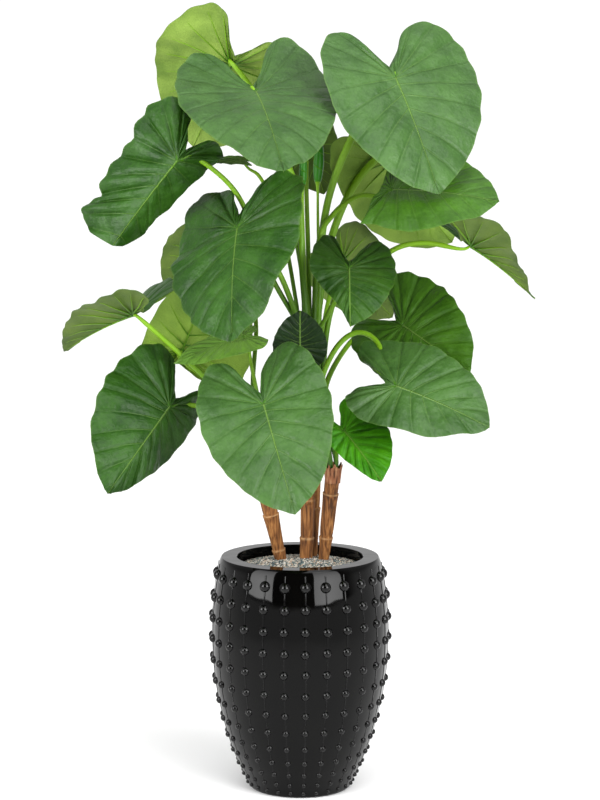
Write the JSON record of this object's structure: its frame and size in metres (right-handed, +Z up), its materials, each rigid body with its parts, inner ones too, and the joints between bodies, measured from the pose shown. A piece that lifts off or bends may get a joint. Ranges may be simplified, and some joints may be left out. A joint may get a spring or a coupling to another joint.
{
  "type": "potted plant",
  "caption": "Tall giant taro with broad heart-shaped leaves on arching stalks and bare fibrous trunks, standing in a glossy barrel-shaped planter covered in round studs.",
  "frame": {"origin": "centre of the pot's flat underside, on the surface it stands on", "axes": "+Z up the pot's axis and the trunks; the plant's open side, as pictured, faces -Y; +X is to the right in that view"},
  "size_m": [1.1169, 0.8908, 1.8212],
  "materials": {
    "pot_glaze": "glossy black glaze",
    "granules": "fine loose pebbles in blue-grey, grey and beige, matt",
    "trunk_bark": "matt brown fibrous bark with leaf-scar rings",
    "dry_sheath": "dry, torn, papery leaf base, matt",
    "leaf_green": "satin leaf with sunken veins, paler and yellower below",
    "young_leaf": "satin deep green rolled leaf"
  },
  "bodies": {
    "root": {"pot": "pot_glaze", "granules": "granules", "trunk_1": "trunk_bark", "trunk_2": "trunk_bark", "trunk_3": "trunk_bark", "trunk_4": "trunk_bark", "sheath_1": "dry_sheath", "sheath_2": "dry_sheath", "sheath_3": "dry_sheath", "sheath_4": "dry_sheath", "leaf_01": "leaf_green", "leaf_02": "leaf_green", "leaf_03": "leaf_green", "leaf_04": "leaf_green", "leaf_05": "leaf_green", "leaf_06": "leaf_green", "leaf_07": "leaf_green", "leaf_08": "leaf_green", "leaf_09": "leaf_green", "leaf_10": "leaf_green", "leaf_11": "leaf_green", "leaf_12": "leaf_green", "leaf_13": "leaf_green", "leaf_14": "leaf_green", "leaf_15": "leaf_green", "leaf_16": "leaf_green", "leaf_17": "leaf_green", "leaf_18": "leaf_green", "leaf_19": "leaf_green", "leaf_20": "leaf_green", "leaf_21": "leaf_green", "leaf_22": "leaf_green", "young_leaf_1": "young_leaf", "young_leaf_2": "young_leaf"}
  },
  "joints": []
}
